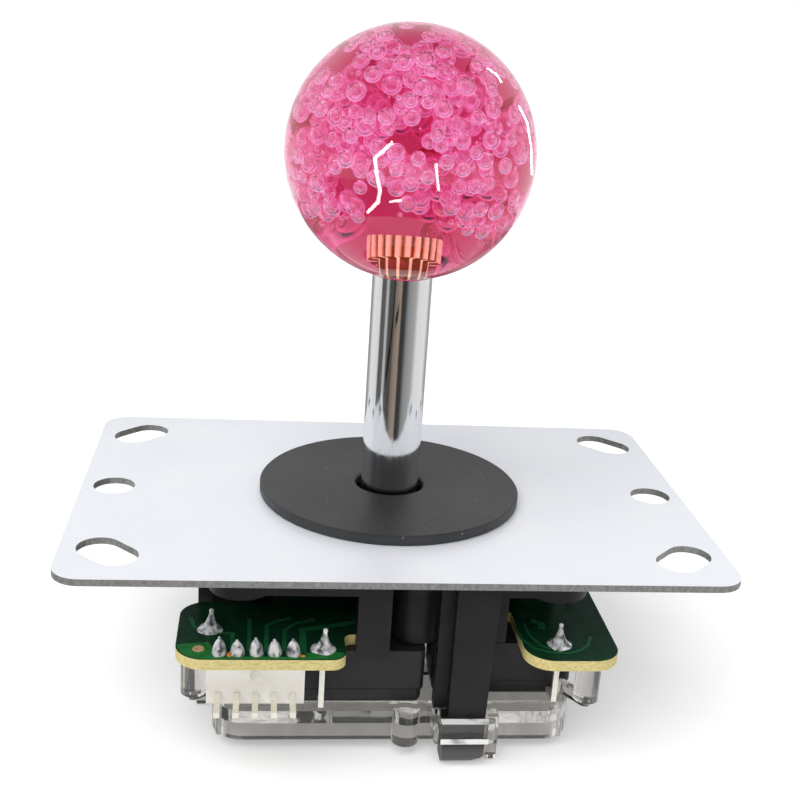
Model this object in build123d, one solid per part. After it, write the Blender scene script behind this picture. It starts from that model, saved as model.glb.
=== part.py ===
from build123d import *
import os
from math import atan, cos, pi, radians, sin, sqrt, tan

os.makedirs("parts", exist_ok=True)

# Arcade joystick lever, in millimetres.
# The origin is the middle of the plate's top face, on the lever's axis; +Z runs up the lever,
# X along the plate, and -Y is the front, where the connector is.

# Mounting plate
plate_length = 95.0
plate_width = 63.0
plate_thickness = 1.0
plate_corner_r = 4.0
plate_opening_r = 11.0
bolt_hole_d = 6.3
bolt_edge = 4.9
slot_length = 9.8
slot_width = 6.3
slot_edge_x = 6.75
slot_edge_y = 8.4
slot_angle = 45.0

# Lever
tilt_limit = 8.0
shaft_d = 9.0
shaft_neck_d = 8.0
shaft_tail_d = 6.0
shaft_rise = 35.3
stud_d = 4.0
stud_length = 7.6
ball_d = 36.5
ball_flat_margin = 0.5
running_gap = 0.05
tail_end = 0.8
tail_chamfer = 0.5
driver_slot_width = 1.0
driver_slot_depth = 1.0

# Ball insert
insert_sleeve_d = 5.2
insert_sleeve_length = 6.8
insert_collar_d = 7.4
insert_collar_length = 2.6
insert_cap = 0.8
knurl_teeth = 20
knurl_depth = 0.4
insert_gap = 0.03

# Dust washer
washer_d = 40.6
washer_thickness = 1.6
washer_edge = 0.25
washer_gap = 0.12

# Pivot and its socket
pivot_drop = 0.5
pivot_r = 7.0
pivot_depth = 4.2
pivot_rim_r = 5.5
pivot_shoulder_r = 6.6
socket_gap = 0.15
socket_wall = 2.2
socket_mouth_r = 5.6

# Centring spring, its seat and the actuator
spring_r = 7.0
spring_wire_d = 1.0
spring_turns = 4
spring_height = 6.1
spring_gap = 0.05
seat_r = 7.9
seat_thickness = 0.8
actuator_flange_r = 7.9
actuator_flange_height = 1.0
actuator_neck = 1.2
actuator_r = 7.4
actuator_height = 5.7
actuator_taper = 2.0
actuator_foot_r = 5.0
actuator_foot_chamfer = 0.4
actuator_foot_drop = 0.3
clip_thickness = 0.7
clip_r = 5.0
clip_mouth = 4.0
clip_relief_r = 0.6
groove_depth = 0.6

# Microswitches
rest_gap = 1.1
plunger_reach = 1.6
plunger_width = 3.0
plunger_height = 1.8
plunger_length = 6.0
plunger_gap = 0.1
plunger_room = 2.0
plunger_nose_r = 0.9
switch_length = 27.5
switch_depth = 15.9
switch_end = 3.9
case_height = 6.2
cover_height = 2.6
cover_inset = 0.25
switch_corner_r = 1.0
switch_ear_depth = 4.8
switch_ear_length = 7.8
cover_round = 1.2
switch_hole_d = 3.1
switch_hole_inset = 3.2
terminal_width = 0.75
terminal_thickness = 0.5
terminal_reach = 2.2
terminal_tail = 1.1
terminal_rise = 1.2
terminal_bend_r = 0.4
base_terminal_x = -10.9
end_terminal_reach = 3.1
end_terminal_gap = 1.5

# Circuit board
board_drop = 11.0
board_thickness = 1.6
board_margin = 3.0
board_corner_r = 4.0
board_opening_r = 13.0
board_gap = 0.3
notch_corner_r = 1.2
lobe_corner_r = 2.0
notch_match = 0.01
lobe_edge = 7.8
lobe_far_edge = 17.6
side_far_edge = 14.8
shelf_edge = 1.7
via_d = 1.0
via_inset_x = 3.2
via_inset_y = 2.8
terminal_hole_d = 1.2
solder_r = 1.7
solder_height = 2.8
pin_solder_r = 1.0
pin_solder_height = 2.4
solder_tip_r = 0.55
solder_waist = 0.3
solder_waist_rise = 0.42

# Connector
pin_count = 5
pin_pitch = 2.54
pin_size = 0.8
pin_tail = 1.0
pin_reach = 4.9
pin_drop = 3.9
pin_fit = 0.02
header_x = -20.1
header_row = 1.6
header_height = 5.2
header_back = 3.4
header_end = 1.6
header_chamfer = 0.5
header_dimple_d = 1.6
header_dimple_depth = 0.3

# Main body
flange_depth = 3.5
flange_top = 1.8
skirt = 1.8
lobe_r = 4.6
lobe_drop = 0.8
rib = 1.6
column_x = 2.7
column_inset = 5.8
column_r = 3.5
column_core_r = 1.9
column_core_depth = 9.0
column_gap = 0.4
pillar_left = -6.2
pillar_width = 4.7
pillar_inset = 2.5
pillar_gap = 0.1
pillar_lip = 0.9
lip_overlap = 0.3
arm_left = 7.3
arm_width = 6.0
arm_taper = 0.8
arm_thickness = 2.2
arm_gap = 3.1
arm_proud = 1.9
arm_wall = 1.9
arm_rib = 1.2
arm_wall_right = 1.7
arm_wall_depth = 1.9
hook_step = 0.8
hook_nose = 1.7
hook_height = 3.4
hook_lead = 1.2
hook_corner = 1.6

# Plate screws
screw_spread = 11.5
screw_head_r = 2.6
screw_core_r = 1.2
screw_length = 6.5
screw_sink = 0.05
screw_boss_r = 3.0
screw_boss_depth = 8.0
screw_fit = 0.05
recess_width = 0.6
recess_length = 3.0
recess_depth = 0.6

# Restrictor gate
gate_height = 5.4
gate_floor = 2.0
gate_floor_drop = 1.3
gate_wall = 1.6
gate_inset = 0.4
gate_seat_gap = 0.1
gate_window_gap = 0.3
gate_window_corner_r = 1.5
gate_collar = 1.8
loop_gap = 0.3
loop_wall = 1.0
loop_front = 1.4
loop_height = 3.3
loop_drop = 0.1
catch_gap = 0.1
guard_width = 1.6
boss_x = 1.6
boss_r = 2.0
post_r = 1.8
post_length = 4.7
post_reach_x = 3.7
post_reach_y = 2.6
post_bar_r = 0.7
post_bar_height = 2.2
stalk_inset_x = 1.3
stalk_inset_y = 1.9

# Heights worked out from the sizes above
body_top = -plate_thickness
flange_middle = body_top - flange_top / 2
flange_bottom = body_top - flange_depth
board_top = body_top - board_drop
board_bottom = board_top - board_thickness
switch_seam = board_bottom - case_height
switch_bottom = switch_seam - cover_height
gate_top = switch_bottom - gate_seat_gap
gate_bottom = gate_top - gate_height
loop_top = gate_top - loop_drop
loop_bottom = loop_top - loop_height
hook_catch = loop_bottom - catch_gap
hook_bottom = hook_catch - hook_height
pivot_z = body_top - pivot_drop
pivot_bottom = pivot_z - pivot_depth
socket_r = pivot_r + socket_gap
socket_bottom = pivot_z - sqrt(socket_r**2 - socket_mouth_r**2)
spring_bottom = socket_bottom - spring_height
seat_bottom = spring_bottom - seat_thickness
actuator_bottom = gate_bottom - actuator_foot_drop
clip_bottom = actuator_bottom - clip_thickness
shaft_bottom = clip_bottom - tail_end
plunger_z = board_bottom - case_height / 2 - plunger_gap
terminal_z = switch_bottom + terminal_rise

# Distances from the lever's axis
shaft_r = shaft_d / 2
neck_r = shaft_neck_d / 2
tail_r = shaft_tail_d / 2
plunger_tip = actuator_r + rest_gap
switch_inner = plunger_tip + plunger_reach
switch_outer = switch_inner + switch_depth
switch_far_end = switch_length - switch_end
terminal_row = switch_outer + terminal_reach
board_half = terminal_row + board_margin
header_y = -board_half + header_row
arm_back = switch_far_end + arm_gap
arm_front = arm_back + arm_thickness
flange_half = arm_front - arm_proud
column_y = flange_half - column_inset
pillar_back = flange_half - pillar_inset
pillar_front = switch_outer + pillar_gap + pillar_lip
shelf = pillar_back - board_gap
notch_depth = column_y - column_r - board_gap
gate_half = arm_back - gate_inset
stalk_x = -gate_half + stalk_inset_x
stalk_y = -gate_half + stalk_inset_y
loop_back = arm_front + loop_gap
corner_tilt = atan(sqrt(2) * tan(radians(tilt_limit)))
washer_hole_r = shaft_r / cos(corner_tilt) + (washer_thickness - pivot_z) * tan(corner_tilt) + washer_gap
gate_window = (
    actuator_foot_r / cos(radians(tilt_limit))
    + (pivot_z - actuator_bottom) * tan(radians(tilt_limit))
    + gate_window_gap
)
sides = ["front", "right", "back", "left"]


def block(x0, x1, y0, y1, z0, z1):
    """A box between two corners."""
    return Pos((x0 + x1) / 2, (y0 + y1) / 2, (z0 + z1) / 2) * Box(x1 - x0, y1 - y0, z1 - z0)


def post(x, y, radius, z0, z1):
    """An upright cylinder between two heights."""
    return Pos(x, y, (z0 + z1) / 2) * Cylinder(radius, abs(z1 - z0))


def slab(sketch, z0, z1):
    """A sketch on the ground plane, raised between two heights."""
    return Pos(0, 0, min(z0, z1)) * extrude(sketch, abs(z1 - z0))


def turned(points):
    """A solid turned about the lever's axis from (radius, height) points."""
    return revolve(Plane.XZ * make_face(Polyline(*points, close=True)), Axis.Z)


def side_profile(points, x0, x1):
    """A solid with a (y, z) outline, from x0 to x1."""
    outline = Plane.YZ * make_face(Polyline(*points, close=True))
    return Pos(x0, 0, 0) * extrude(outline, x1 - x0)


def quarter(shape, turns):
    """A copy turned about the lever's axis by quarter turns: front, right, back, left."""
    return Rot(0, 0, 90 * turns) * shape


def four_times(shape):
    """The shape on all four sides."""
    return [quarter(shape, turns) for turns in range(4)]


def save(shape, name):
    """Write one sub-part."""
    export_step(shape, f"parts/{name}.step")


# Mounting plate: outline, opening for the pivot, bolt holes, slanted slots and screw countersinks
def mounting_plate():
    sketch = RectangleRounded(plate_length, plate_width, plate_corner_r)
    sketch -= Circle(plate_opening_r)
    bolt_x = plate_length / 2 - bolt_edge
    slot_x = plate_length / 2 - slot_edge_x
    slot_y = plate_width / 2 - slot_edge_y
    for side in (-1, 1):
        sketch -= Pos(side * bolt_x, 0) * Circle(bolt_hole_d / 2)
        for end in (-1, 1):
            slot = Rot(0, 0, -side * end * slot_angle) * SlotOverall(slot_length, slot_width)
            sketch -= Pos(side * slot_x, end * slot_y) * slot
    plate = slab(sketch, -plate_thickness, 0)
    sink = turned(
        [
            (0, 0),
            (screw_head_r + screw_fit, 0),
            (screw_core_r + screw_fit, -plate_thickness),
            (0, -plate_thickness),
        ]
    )
    for x, y in screw_places():
        plate -= Pos(x, y, 0) * sink
    return plate


def screw_places():
    return [(x * screw_spread, y * screw_spread) for x in (-1, 1) for y in (-1, 1)]


# Plate screws: flat heads flush with the plate, with cross recesses
def plate_screws():
    screw = turned(
        [
            (0, -screw_sink),
            (screw_head_r - screw_sink, -screw_sink),
            (screw_core_r, -plate_thickness),
            (screw_core_r, screw_core_r - screw_length),
            (0, -screw_length),
        ]
    )
    cut = Pos(0, 0, -recess_depth / 2) * Box(recess_length, recess_width, recess_depth)
    for angle in (0, 90):
        screw -= Rot(0, 0, angle) * cut
    return Compound(children=[Pos(x, y, 0) * screw for x, y in screw_places()])


# Dust washer: a loose disc with broken edges
def dust_washer():
    ring = slab(Circle(washer_d / 2) - Circle(washer_hole_r), 0, washer_thickness)
    return chamfer(ring.edges().filter_by(GeomType.CIRCLE), washer_edge)


# Main body: tray under the plate, pivot socket, ribs, columns, pillars and latch arms, as one moulding
def main_body():
    outline = RectangleRounded(2 * flange_half, 2 * flange_half, lobe_r)
    inside = RectangleRounded(2 * (flange_half - skirt), 2 * (flange_half - skirt), lobe_r - skirt)
    body = slab(outline, flange_bottom, body_top) - slab(inside, flange_bottom, body_top - flange_top)
    lobe = flange_half - lobe_r
    body += four_times(post(-lobe, -lobe, lobe_r, flange_bottom - lobe_drop, body_top))
    body += turned(
        [
            (0, body_top),
            (socket_r + socket_wall, body_top),
            (socket_r + socket_wall, socket_bottom),
            (0, socket_bottom),
        ]
    )
    pillar_right = pillar_left + pillar_width
    body -= four_times(block(pillar_right, arm_left, -flange_half, -column_y, flange_bottom, body_top))
    body += four_times(block(-rib / 2, rib / 2, -column_y, 0, flange_bottom, flange_middle))
    for x, y in screw_places():
        body += post(x, y, screw_boss_r, body_top - screw_boss_depth, flange_middle)
    body += four_times(column())
    body += four_times(pillar())
    body += four_times(latch_arm())
    for x, y in screw_places():
        body -= post(x, y, screw_core_r + screw_fit, -screw_length - screw_core_r, body_top)
    body -= Pos(0, 0, pivot_z) * Sphere(socket_r)
    body -= post(0, 0, socket_r, pivot_z, body_top)
    body -= post(0, 0, socket_mouth_r, socket_bottom, pivot_z)
    return body


def column():
    bottom = board_bottom + column_gap
    solid = post(column_x, -column_y, column_r, bottom, body_top)
    return solid - post(column_x, -column_y, column_core_r, bottom, bottom + column_core_depth)


def pillar():
    foot = board_bottom + pillar_gap
    lip_back = switch_outer + pillar_gap
    outline = [
        (-pillar_front, body_top),
        (-pillar_back, body_top),
        (-pillar_back, foot),
        (-lip_back, foot),
        (-lip_back, foot - lip_overlap),
        (-pillar_front, foot - lip_overlap),
    ]
    return side_profile(outline, pillar_left, pillar_left + pillar_width)


def latch_arm():
    outline = [
        (-arm_front, body_top),
        (-arm_back, body_top),
        (-arm_back, hook_bottom),
        (-arm_front - hook_nose + hook_lead, hook_bottom),
        (-arm_front - hook_nose, hook_bottom + hook_lead),
        (-arm_front - hook_nose, hook_catch),
        (-arm_front, hook_catch),
    ]
    right = arm_left + arm_width
    left = arm_left - hook_step
    face = [
        (arm_left, body_top),
        (right, body_top),
        (right, flange_bottom),
        (right - arm_taper, hook_bottom + hook_corner),
        (right - arm_taper - hook_corner, hook_bottom),
        (left, hook_bottom),
        (left, gate_top),
        (arm_left, gate_top),
    ]
    cutter = extrude(Plane.XZ * make_face(Polyline(*face, close=True)), 2 * arm_front)
    arm = side_profile(outline, left, right) & cutter
    wall_back = arm_back - arm_wall_depth
    wall_right = arm_left + arm_rib
    side_wall = block(arm_left - arm_wall, wall_right, -arm_back, -wall_back, switch_bottom, body_top)
    root = block(arm_left, right + arm_wall_right, -arm_back, -wall_back, board_top + board_gap, body_top)
    return arm + side_wall + root


# Circuit board: a square with a notch in each side, so that four lobes stand out at the corners
def circuit_board():
    sketch = RectangleRounded(2 * board_half, 2 * board_half, board_corner_r)
    edge = board_half + board_corner_r
    for turns in range(4):
        far_edge = (lobe_far_edge, side_far_edge)[turns % 2]
        notch = Polyline(
            (-lobe_edge, -edge),
            (-lobe_edge, -shelf),
            (-shelf_edge, -shelf),
            (-shelf_edge, -notch_depth),
            (far_edge, -notch_depth),
            (far_edge, -edge),
            close=True,
        )
        sketch -= Rot(0, 0, 90 * turns) * make_face(notch)
    far_edges = (lobe_far_edge, side_far_edge)
    for radius, on_rim, edges in (
        (notch_corner_r, False, (lobe_edge, shelf_edge, *far_edges)),
        (lobe_corner_r, True, (lobe_edge,)),
        (board_corner_r, True, far_edges),
    ):
        sketch = fillet([v for v in sketch.vertices() if is_notch_corner(v, on_rim, edges)], radius)
    sketch -= Circle(board_opening_r)
    for x in pin_columns():
        sketch -= Pos(x, header_y) * Circle(pin_size * sqrt(0.5) + 2 * pin_fit)
    for turns in range(4):
        for x, y in terminal_places():
            sketch -= Rot(0, 0, 90 * turns) * Pos(x, y) * Circle(terminal_hole_d / 2)
    sketch -= Pos(-board_half + via_inset_x, -board_half + via_inset_y) * Circle(via_d / 2)
    return slab(sketch, board_bottom, board_top)


def is_notch_corner(vertex, on_rim, edges):
    """True at a corner of a notch on one of these edges, either on the board's rim or inside it."""
    inward = min(abs(vertex.X), abs(vertex.Y))
    outward = max(abs(vertex.X), abs(vertex.Y))
    at_rim = abs(outward - board_half) < notch_match
    return at_rim == on_rim and any(abs(inward - edge) < notch_match for edge in edges)


def pin_columns():
    first = header_x - pin_pitch * (pin_count - 1) / 2
    return [first + pin_pitch * i for i in range(pin_count)]


def terminal_places():
    """Where the front switch's two terminals pass through the board."""
    end_x = -switch_far_end - end_terminal_reach
    end_y = stalk_y + end_terminal_gap
    return [(base_terminal_x, -terminal_row), (end_x, end_y)]


# Solder joints: a concave cone round each terminal and connector pin, on the board's upper side
def solder_joints():
    big = solder_cone(solder_r, solder_height, terminal_hole_d / 2, terminal_tail)
    small = solder_cone(pin_solder_r, pin_solder_height, pin_size * sqrt(0.5) + pin_fit, pin_tail)
    joints = [Pos(x, header_y, 0) * small for x in pin_columns()]
    for turns in range(4):
        joints += [quarter(Pos(x, y, 0) * big, turns) for x, y in terminal_places()]
    return Compound(children=joints)


def solder_cone(radius, height, bore_r, tail):
    tip = board_top + height
    floor = board_top + tail + pin_fit
    waist_r = solder_tip_r + (radius - solder_tip_r) * solder_waist
    waist = board_top + height * solder_waist_rise
    flank = ThreePointArc((radius, board_top), (waist_r, waist), (solder_tip_r, tip))
    rest = Polyline(
        (solder_tip_r, tip),
        (0, tip),
        (0, floor),
        (bore_r, floor),
        (bore_r, board_top),
        (radius, board_top),
    )
    return revolve(Plane.XZ * make_face([flank, rest]), Axis.Z)


# Connector: moulded header under the board, with right-angle pins that point to the front
def connector_pin(size):
    half = size / 2
    top = board_top + pin_tail
    level = board_bottom - pin_drop
    front = -board_half - pin_reach
    outline = [
        (header_y - half, top),
        (header_y + half, top),
        (header_y + half, level - half),
        (front, level - half),
        (front, level + half),
        (header_y - half, level + half),
    ]
    return side_profile(outline, -half, half)


def connector_pins():
    return Compound(children=[Pos(x, 0, 0) * connector_pin(pin_size) for x in pin_columns()])


def connector_housing():
    length = pin_pitch * (pin_count - 1) + 2 * header_end
    front = -board_half
    back = header_y + header_back
    bottom = board_bottom - header_height
    outline = [
        (front, board_bottom),
        (back, board_bottom),
        (back, bottom + header_chamfer),
        (back - header_chamfer, bottom),
        (front, bottom),
    ]
    housing = side_profile(outline, header_x - length / 2, header_x + length / 2)
    for x in pin_columns():
        housing -= Pos(x, 0, 0) * connector_pin(pin_size + 2 * pin_fit)
    dimple = Rot(90, 0, 0) * Cylinder(header_dimple_d / 2, 2 * header_dimple_depth)
    return housing - Pos(header_x, front, board_bottom - header_dimple_d / 2) * dimple


# Microswitch, drawn on the front side: case, cover, plunger and two bent terminals
def switch_outline(inset):
    length = switch_length - 2 * inset
    depth = switch_depth - 2 * inset
    x = switch_end - switch_length / 2
    y = -(switch_inner + switch_outer) / 2
    sketch = Pos(x, y) * RectangleRounded(length, depth, switch_corner_r)
    ear_depth = 2 * switch_ear_depth
    ear_x = -switch_far_end + switch_ear_length / 2
    sketch += Pos(ear_x, -switch_inner) * RectangleRounded(
        switch_ear_length - 2 * inset, ear_depth - 2 * inset, switch_corner_r
    )
    hole_x = switch_length / 2 - switch_hole_inset
    hole_y = switch_depth / 2 - switch_hole_inset
    for end in (-1, 1):
        sketch -= Pos(x + end * hole_x, y + end * hole_y) * Circle(switch_hole_d / 2)
    return sketch


def switch_case():
    case = slab(switch_outline(0), switch_seam, board_bottom)
    half_width = plunger_width / 2 + plunger_gap
    half_height = plunger_height / 2 + plunger_gap
    pocket = switch_inner - plunger_reach + plunger_length + plunger_room
    return case - block(
        -half_width, half_width, -pocket, -switch_inner, plunger_z - half_height, plunger_z + half_height
    )


def switch_cover():
    cover = slab(switch_outline(cover_inset), switch_bottom, switch_seam)
    rim = cover.faces().sort_by(Axis.Z)[0].outer_wire()
    return fillet(rim.edges(), cover_round)


def switch_plunger():
    half = plunger_width / 2
    stem = block(
        -half,
        half,
        -plunger_tip - plunger_length,
        -plunger_tip,
        plunger_z - plunger_height / 2,
        plunger_z + plunger_height / 2,
    )
    nose = stem.faces().sort_by(Axis.Y)[-1]
    return fillet(nose.edges().filter_by(Axis.Z), plunger_nose_r)


def switch_terminals():
    (base_x, base_y), (end_x, end_y) = terminal_places()
    base = Pos(base_x, 0, 0) * terminal_strip(switch_outer - cover_inset, -base_y)
    end = terminal_strip(switch_far_end - cover_inset, -end_x)
    return Compound(children=[base, Pos(0, end_y, 0) * Rot(0, 0, -90) * end])


def terminal_strip(root, row):
    """A strip that leaves a face at y = -root, turns up at y = -row and passes through the board."""
    half = terminal_thickness / 2
    outline = [
        (-root, terminal_z - half),
        (-root, terminal_z + half),
        (-row + half, terminal_z + half),
        (-row + half, board_top + terminal_tail),
        (-row - half, board_top + terminal_tail),
        (-row - half, terminal_z - half),
    ]
    strip = side_profile(outline, -terminal_width / 2, terminal_width / 2)
    elbow = strip.edges().filter_by(Axis.X).sort_by_distance((0, -row - half, terminal_z - half))[0]
    return fillet(elbow, terminal_bend_r)


# Restrictor gate: clear tray with a square window, loops for the latch arms and corner posts
def restrictor_gate():
    floor_top = gate_top - gate_floor_drop
    outline = RectangleRounded(2 * gate_half, 2 * gate_half, lobe_r)
    inside = RectangleRounded(2 * (gate_half - gate_wall), 2 * (gate_half - gate_wall), lobe_r - gate_wall)
    window = RectangleRounded(2 * gate_window, 2 * gate_window, gate_window_corner_r)
    collar_half = gate_window + gate_collar
    collar = RectangleRounded(2 * collar_half, 2 * collar_half, gate_window_corner_r + gate_collar)
    gate = slab(outline, gate_bottom, gate_top) - slab(inside, floor_top, gate_top)
    gate -= slab(inside, gate_bottom, floor_top - gate_floor)
    gate += slab(collar, gate_bottom, floor_top)
    gate += four_times(arm_loop())
    gate += four_times(corner_post())
    return gate - slab(window, gate_bottom, gate_top)


def arm_loop():
    """A staple-shaped loop that stands out round one latch arm, with a guard beside the hook and a boss."""
    left = arm_left - hook_step - loop_gap
    right = arm_left + arm_width - arm_taper + 2 * loop_gap
    front = loop_back + loop_front
    staple = block(left - loop_wall, right + loop_wall, -front, -gate_half, loop_bottom, loop_top)
    staple = fillet(staple.edges().filter_by(Axis.Z).group_by(Axis.Y)[0], loop_wall)
    staple -= block(left, right, -loop_back, -gate_half, loop_bottom, loop_top)
    guard = block(right, right + guard_width, -arm_front, -gate_half, hook_bottom, gate_top)
    return staple + guard + post(boss_x, -gate_half, boss_r, gate_bottom, gate_top)


def corner_post():
    """A post under the board's lobe, carried by a bar on a stalk that rises from the gate's corner."""
    x = stalk_x - post_reach_x
    y = stalk_y - post_reach_y
    foot = board_bottom - post_length
    ends = Pos(x, y) * Circle(post_bar_r) + Pos(stalk_x, stalk_y) * Circle(post_bar_r)
    bar = slab(make_hull(ends.edges()), foot - post_bar_height, foot - post_bar_r)
    stalk = post(stalk_x, stalk_y, post_bar_r, gate_bottom, foot - post_bar_r)
    return bar + stalk + post(x, y, post_r, foot - post_bar_height / 2, board_bottom)


# Lever: shaft, pivot, spring, seat, actuator, clip, insert and ball
def lever_shaft():
    groove_r = tail_r - groove_depth
    ledge = seat_bottom - actuator_flange_height - actuator_neck
    shaft = turned(
        [
            (0, shaft_rise + stud_length),
            (stud_d / 2 - tail_chamfer, shaft_rise + stud_length),
            (stud_d / 2, shaft_rise + stud_length - tail_chamfer),
            (stud_d / 2, shaft_rise),
            (shaft_r - tail_chamfer / 2, shaft_rise),
            (shaft_r, shaft_rise - tail_chamfer / 2),
            (shaft_r, pivot_z),
            (neck_r, pivot_z),
            (neck_r, ledge),
            (tail_r, ledge),
            (tail_r, actuator_bottom),
            (groove_r, actuator_bottom),
            (groove_r, clip_bottom),
            (tail_r, clip_bottom),
            (tail_r, shaft_bottom + tail_chamfer),
            (tail_r - tail_chamfer, shaft_bottom),
            (0, shaft_bottom),
        ]
    )
    half = driver_slot_width / 2
    return shaft - block(-tail_r, tail_r, -half, half, shaft_bottom, shaft_bottom + driver_slot_depth)


def pivot():
    bore = neck_r + running_gap
    top = pivot_z - running_gap
    low_r = sqrt(pivot_r**2 - pivot_depth**2)
    shoulder = pivot_z - sqrt(pivot_r**2 - pivot_shoulder_r**2)
    middle_r = (pivot_shoulder_r + low_r) / 2
    middle = pivot_z - sqrt(pivot_r**2 - middle_r**2)
    ball = ThreePointArc((pivot_shoulder_r, shoulder), (middle_r, middle), (low_r, pivot_bottom))
    rest = Polyline(
        (low_r, pivot_bottom),
        (bore, pivot_bottom),
        (bore, top),
        (pivot_rim_r, top),
        (pivot_shoulder_r, shoulder),
    )
    return revolve(Plane.XZ * make_face([ball, rest]), Axis.Z)


def centring_spring():
    wire_r = spring_wire_d / 2
    rise = spring_height - spring_wire_d - 2 * spring_gap
    path = Helix(rise / spring_turns, rise, spring_r)
    section = Plane(path @ 0, z_dir=path % 0) * Circle(wire_r)
    coil = sweep(section, path, is_frenet=True)
    return Pos(0, 0, spring_bottom + spring_gap + wire_r) * coil


def spring_seat():
    return slab(Circle(seat_r) - Circle(neck_r + running_gap), seat_bottom, spring_bottom)


def actuator():
    neck_bore = neck_r + running_gap
    tail_bore = tail_r + running_gap
    flange_low = seat_bottom - actuator_flange_height
    ledge = flange_low - actuator_neck - running_gap
    barrel_low = flange_low - actuator_height
    foot_top = barrel_low - actuator_taper
    return turned(
        [
            (neck_bore, seat_bottom),
            (actuator_flange_r, seat_bottom),
            (actuator_flange_r, flange_low),
            (actuator_r, flange_low),
            (actuator_r, barrel_low),
            (actuator_foot_r, foot_top),
            (actuator_foot_r, actuator_bottom + actuator_foot_chamfer),
            (actuator_foot_r - actuator_foot_chamfer, actuator_bottom),
            (tail_bore, actuator_bottom),
            (tail_bore, ledge),
            (neck_bore, ledge),
        ]
    )


def retaining_clip():
    groove_r = tail_r - groove_depth
    ring = Circle(clip_r) - Circle(groove_r + running_gap)
    mouth = Pos(0, -clip_r / 2) * Rectangle(clip_mouth, clip_r)
    relief = Pos(0, (groove_r + clip_r) / 2) * Circle(clip_relief_r)
    return slab(ring - mouth - relief, clip_bottom + running_gap, actuator_bottom)


def ball_insert():
    low = shaft_rise
    step = low + insert_sleeve_length
    top = step + insert_collar_length
    outer = insert_collar_d / 2
    teeth = []
    for i in range(2 * knurl_teeth):
        radius = (outer, outer - knurl_depth)[i % 2]
        angle = pi * i / knurl_teeth
        teeth.append((radius * cos(angle), radius * sin(angle)))
    collar = slab(make_face(Polyline(*teeth, close=True)), step, top)
    solid = collar + post(0, 0, insert_sleeve_d / 2, low, step)
    return solid - post(0, 0, stud_d / 2 + insert_gap, low, top - insert_cap)


def ball_top():
    centre = shaft_rise + sqrt((ball_d / 2) ** 2 - (shaft_r + ball_flat_margin) ** 2)
    ball = Pos(0, 0, centre) * Sphere(ball_d / 2)
    step = shaft_rise + insert_sleeve_length
    top = step + insert_collar_length
    ball -= block(-ball_d, ball_d, -ball_d, ball_d, centre - ball_d, shaft_rise)
    ball -= post(0, 0, insert_sleeve_d / 2 + insert_gap, shaft_rise, step)
    return ball - post(0, 0, insert_collar_d / 2 + insert_gap, step - insert_gap, top + insert_gap)


# Write every sub-part
save(mounting_plate(), "mounting_plate")
save(plate_screws(), "plate_screws")
save(dust_washer(), "dust_washer")
save(main_body(), "main_body")
save(circuit_board(), "circuit_board")
save(solder_joints(), "solder_joints")
save(connector_housing(), "connector_housing")
save(connector_pins(), "connector_pins")
save(restrictor_gate(), "restrictor_gate")
save(lever_shaft(), "lever_shaft")
save(pivot(), "pivot")
save(centring_spring(), "centring_spring")
save(spring_seat(), "spring_seat")
save(actuator(), "actuator")
save(retaining_clip(), "retaining_clip")
save(ball_insert(), "ball_insert")
save(ball_top(), "ball_top")
for turns, side in enumerate(sides):
    save(quarter(switch_case(), turns), f"switch_case_{side}")
    save(quarter(switch_cover(), turns), f"switch_cover_{side}")
    save(quarter(switch_plunger(), turns), f"switch_plunger_{side}")
    save(quarter(switch_terminals(), turns), f"switch_terminals_{side}")
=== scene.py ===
import math
import random

import bpy
from mathutils import Matrix, Quaternion, Vector, noise


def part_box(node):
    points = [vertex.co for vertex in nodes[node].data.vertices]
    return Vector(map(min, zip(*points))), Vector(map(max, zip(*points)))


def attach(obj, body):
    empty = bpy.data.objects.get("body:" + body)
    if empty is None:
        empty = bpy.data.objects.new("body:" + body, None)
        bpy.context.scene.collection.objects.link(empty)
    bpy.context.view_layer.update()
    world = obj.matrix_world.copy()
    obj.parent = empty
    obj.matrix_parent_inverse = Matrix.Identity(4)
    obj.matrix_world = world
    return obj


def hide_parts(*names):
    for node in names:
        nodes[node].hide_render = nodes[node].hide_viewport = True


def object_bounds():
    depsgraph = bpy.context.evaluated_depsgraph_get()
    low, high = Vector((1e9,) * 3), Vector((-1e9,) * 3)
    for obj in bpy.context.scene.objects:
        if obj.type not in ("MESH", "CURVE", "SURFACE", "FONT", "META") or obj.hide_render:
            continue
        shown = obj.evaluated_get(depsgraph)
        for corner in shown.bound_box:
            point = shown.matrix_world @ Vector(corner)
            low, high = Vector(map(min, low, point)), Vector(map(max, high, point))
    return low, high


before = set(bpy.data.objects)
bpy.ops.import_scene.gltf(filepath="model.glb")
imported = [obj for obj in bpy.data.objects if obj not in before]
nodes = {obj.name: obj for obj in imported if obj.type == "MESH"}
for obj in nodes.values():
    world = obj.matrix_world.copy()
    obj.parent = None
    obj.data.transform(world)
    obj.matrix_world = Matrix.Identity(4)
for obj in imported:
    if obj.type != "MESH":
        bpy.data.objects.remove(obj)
cad_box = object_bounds()
sides = ("front", "right", "back", "left")

# Lengths are in metres where no comment says otherwise
mm = 0.001

# Camera: fitted to the plate's corners, holes and slots, for a square picture; angles in degrees,
# sensor in millimetres
picture_px = 800
focal_px = 1219.7
sensor_width = 36.0
near_clip = 5 * mm
camera_place = Vector((-20.2, -177.3, 75.05)) * mm
camera_yaw = -6.77
camera_tilt = 71.47
camera_roll = 3.77

# Ball and its resin
ball_segments = 112
ball_rings = 60
resin_ior = 1.5
resin_tint = (0.805, 0.020, 0.370)
resin_density = 113.0

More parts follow.
